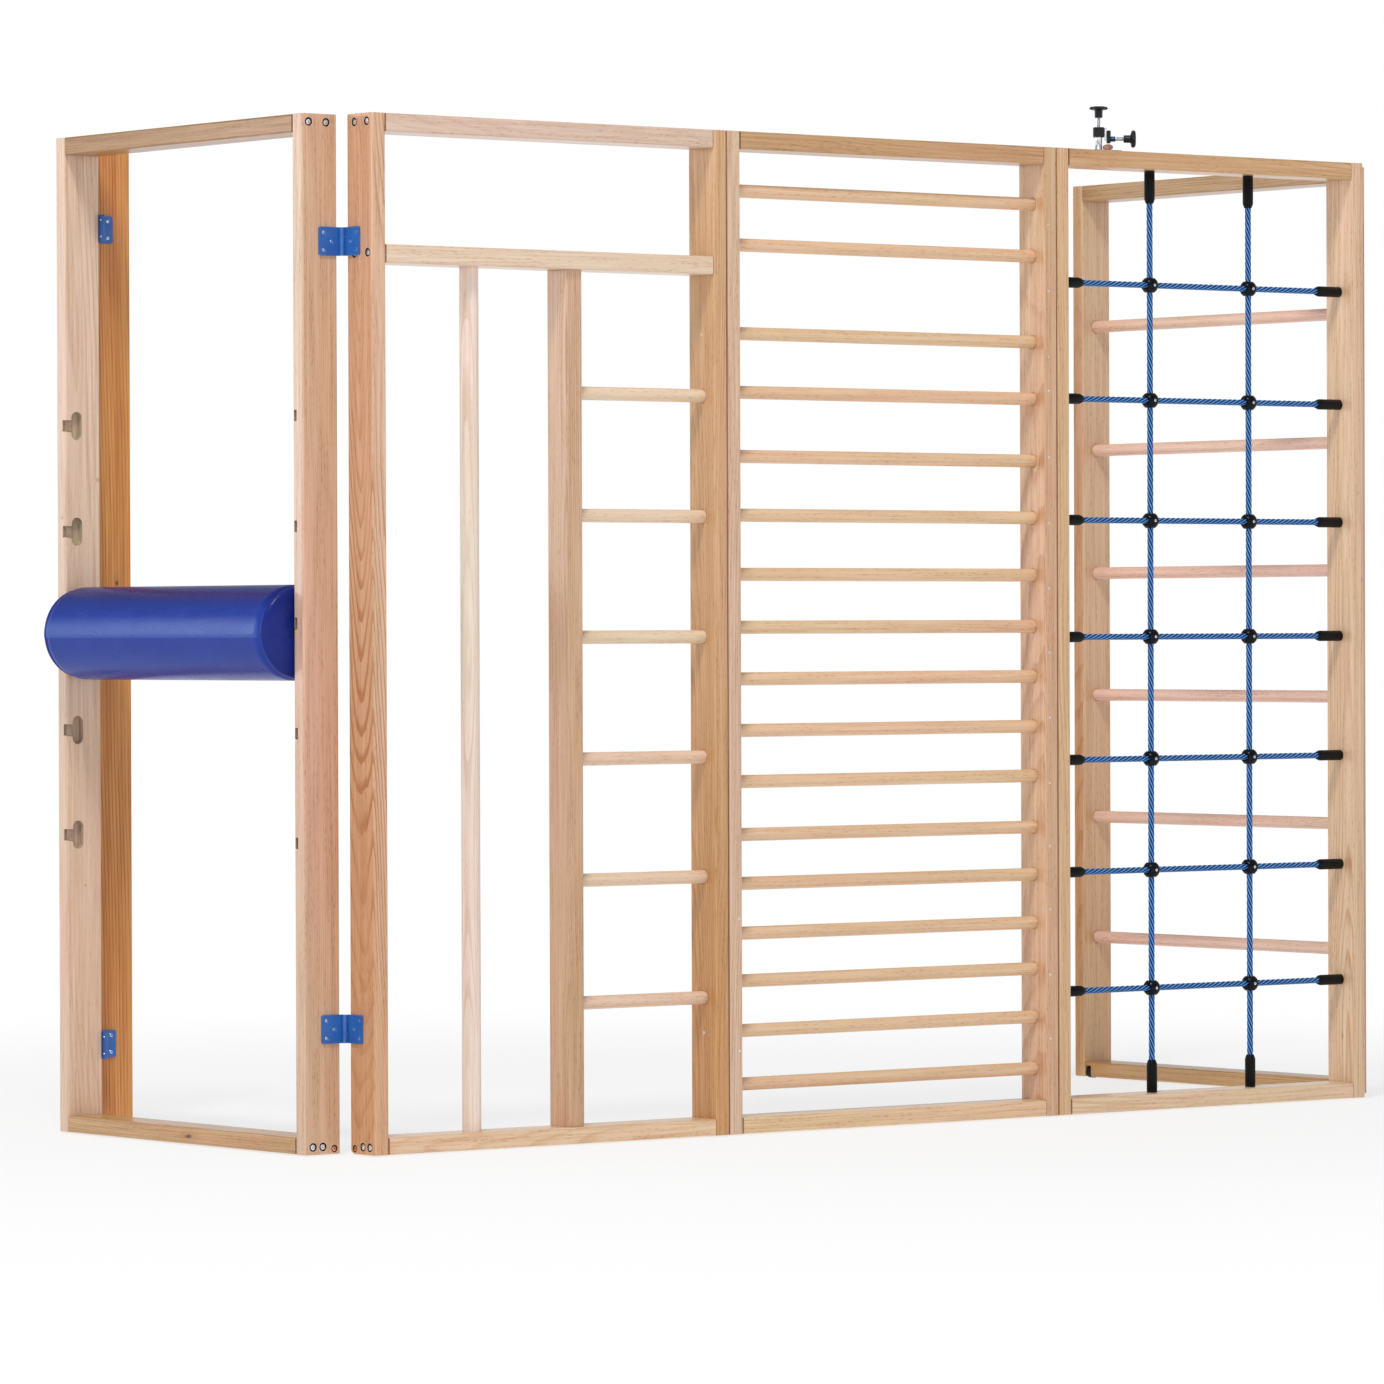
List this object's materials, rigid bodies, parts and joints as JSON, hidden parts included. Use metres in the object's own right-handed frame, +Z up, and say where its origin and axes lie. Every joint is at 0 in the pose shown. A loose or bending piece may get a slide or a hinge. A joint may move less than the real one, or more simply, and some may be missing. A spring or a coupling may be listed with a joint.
{
  "type": "fold-away wall bars",
  "caption": "Fold-away wooden wall bars: wing with padded roller, wall with pole, rungs and rope net, second wing with rungs, hinged to posts on a wall",
  "frame": {"origin": "centre of the left wall post's back face, which lies on the building wall", "axes": "+X along the front wall to its right end, +Y back into the building wall, +Z up; the floor is 1.125 m below the origin"},
  "size_m": [3.2127, 1.128, 2.3585],
  "materials": {
    "frame_wood": "clear satin lacquer on pine",
    "post_wood": "clear lacquer on darker orange pine",
    "rung_wood": "smooth lacquered hardwood",
    "pink_wood": "smooth lacquered hardwood, pinkish",
    "hinge_blue": "blue powder coat",
    "steel": "zinc plated",
    "knob_black": "moulded",
    "wheel_black": "moulded",
    "rope_blue": "twisted blue rope with black fittings",
    "pad_vinyl": "satin coated fabric over foam"
  },
  "bodies": {
    "wall_posts": {"wall_hinge_lower_post_leaf": "hinge_blue", "wall_hinge_upper_post_leaf": "hinge_blue", "wall_post_left": "post_wood", "wall_post_right": "post_wood"},
    "left_wing": {"left_corner_hinge_lower_wing_leaf": "hinge_blue", "left_corner_hinge_upper_wing_leaf": "hinge_blue", "left_wing_bottom_rail": "frame_wood", "left_wing_far_stile": "frame_wood", "left_wing_near_stile": "frame_wood", "left_wing_top_rail": "frame_wood", "wall_hinge_lower_wing_leaf": "hinge_blue", "wall_hinge_upper_wing_leaf": "hinge_blue"},
    "front_wall": {"clamp_bracket": "steel", "climbing_pole": "rung_wood", "ladder_bottom_rail": "frame_wood", "ladder_left_stile": "frame_wood", "ladder_right_stile_and_rungs": "frame_wood", "ladder_top_rail": "frame_wood", "left_corner_hinge_lower_wall_leaf": "hinge_blue", "left_corner_hinge_upper_wall_leaf": "hinge_blue", "net_frame_bottom_rail": "frame_wood", "net_frame_left_stile": "frame_wood", "net_frame_right_stile": "frame_wood", "net_frame_top_rail": "frame_wood", "pole_frame_bottom_rail": "frame_wood", "pole_frame_left_stile": "frame_wood", "pole_frame_middle_rail": "frame_wood", "pole_frame_mullion": "frame_wood", "pole_frame_right_stile": "frame_wood", "pole_frame_rung_1": "rung_wood", "pole_frame_rung_2": "rung_wood", "pole_frame_rung_3": "rung_wood", "pole_frame_rung_4": "rung_wood", "pole_frame_rung_5": "rung_wood", "pole_frame_rung_6": "rung_wood", "pole_frame_top_rail": "frame_wood", "right_corner_hinge_lower_wall_leaf": "hinge_blue", "right_corner_hinge_upper_wall_leaf": "hinge_blue", "rope_net": "rope_blue"},
    "right_wing": {"right_corner_hinge_lower_wing_leaf": "hinge_blue", "right_corner_hinge_upper_wing_leaf": "hinge_blue", "right_wing_bottom_rail": "frame_wood", "right_wing_far_stile": "frame_wood", "right_wing_near_stile": "frame_wood", "right_wing_rung_1": "pink_wood", "right_wing_rung_2": "pink_wood", "right_wing_rung_3": "pink_wood", "right_wing_rung_4": "pink_wood", "right_wing_rung_5": "pink_wood", "right_wing_rung_6": "pink_wood", "right_wing_top_rail": "frame_wood"},
    "roller_shaft": {"roller_shaft": "steel"},
    "roller_pad": {"roller_pad": "pad_vinyl"},
    "left_wing_wheel": {"left_wing_wheel": "wheel_black"},
    "front_left_wheel": {"front_left_wheel": "wheel_black"},
    "front_right_wheel": {"front_right_wheel": "wheel_black"},
    "right_wing_near_wheel": {"right_wing_near_wheel": "wheel_black"},
    "right_wing_far_wheel": {"right_wing_far_wheel": "wheel_black"},
    "clamp_top_knob": {"clamp_top_knob": "knob_black"},
    "clamp_side_knob": {"clamp_side_knob": "knob_black"}
  },
  "joints": [
    {"name": "left_wing_hinge", "type": "hinge", "parent": "wall_posts", "child": "left_wing", "pos_m": [-0.0525, -0.0465, 0], "axis": [0, 0, 1], "range_deg": [0, 65]},
    {"name": "front_wall_hinge", "type": "hinge", "parent": "left_wing", "child": "front_wall", "pos_m": [-0.0545, -1.0295, 0], "axis": [0, 0, 1], "range_deg": [-65, 0]},
    {"name": "right_wing_hinge", "type": "hinge", "parent": "front_wall", "child": "right_wing", "pos_m": [2.8857, -1.0295, 0], "axis": [0, 0, 1], "range_deg": [-90, 90]},
    {"name": "roller_lift", "type": "slide", "parent": "left_wing", "child": "roller_shaft", "axis": [0, 0, 1], "range_m": [0, 0.037]},
    {"name": "roller_spin", "type": "hinge", "parent": "roller_shaft", "child": "roller_pad", "pos_m": [-0.124, -0.534, 0.0053], "axis": [0, 1, 0], "continuous": true},
    {"name": "left_wing_wheel_spin", "type": "hinge", "parent": "left_wing", "child": "left_wing_wheel", "pos_m": [-0.077, -0.971, -1.1105], "axis": [0, 1, 0], "continuous": true},
    {"name": "front_left_wheel_spin", "type": "hinge", "parent": "front_wall", "child": "front_left_wheel", "pos_m": [0.004, -1.052, -1.1105], "axis": [1, 0, 0], "continuous": true},
    {"name": "front_right_wheel_spin", "type": "hinge", "parent": "front_wall", "child": "front_right_wheel", "pos_m": [2.8272, -1.052, -1.1105], "axis": [1, 0, 0], "continuous": true},
    {"name": "right_wing_near_wheel_spin", "type": "hinge", "parent": "right_wing", "child": "right_wing_near_wheel", "pos_m": [2.9082, -0.971, -1.1105], "axis": [0, 1, 0], "continuous": true},
    {"name": "right_wing_far_wheel_spin", "type": "hinge", "parent": "right_wing", "child": "right_wing_far_wheel", "pos_m": [2.9082, -0.097, -1.1105], "axis": [0, 1, 0], "continuous": true},
    {"name": "clamp_top_knob_turn", "type": "hinge", "parent": "front_wall", "child": "clamp_top_knob", "pos_m": [2.1062, -1.044, 1.205], "axis": [0, 0, 1], "continuous": true},
    {"name": "clamp_side_knob_turn", "type": "hinge", "parent": "front_wall", "child": "clamp_side_knob", "pos_m": [2.1456, -1.07478, 1.157], "axis": [0.788, -0.6157, 0], "continuous": true}
  ],
  "couplings": [
    {"joint": "left_wing_hinge", "follows": "front_wall_hinge", "ratio": -1}
  ]
}
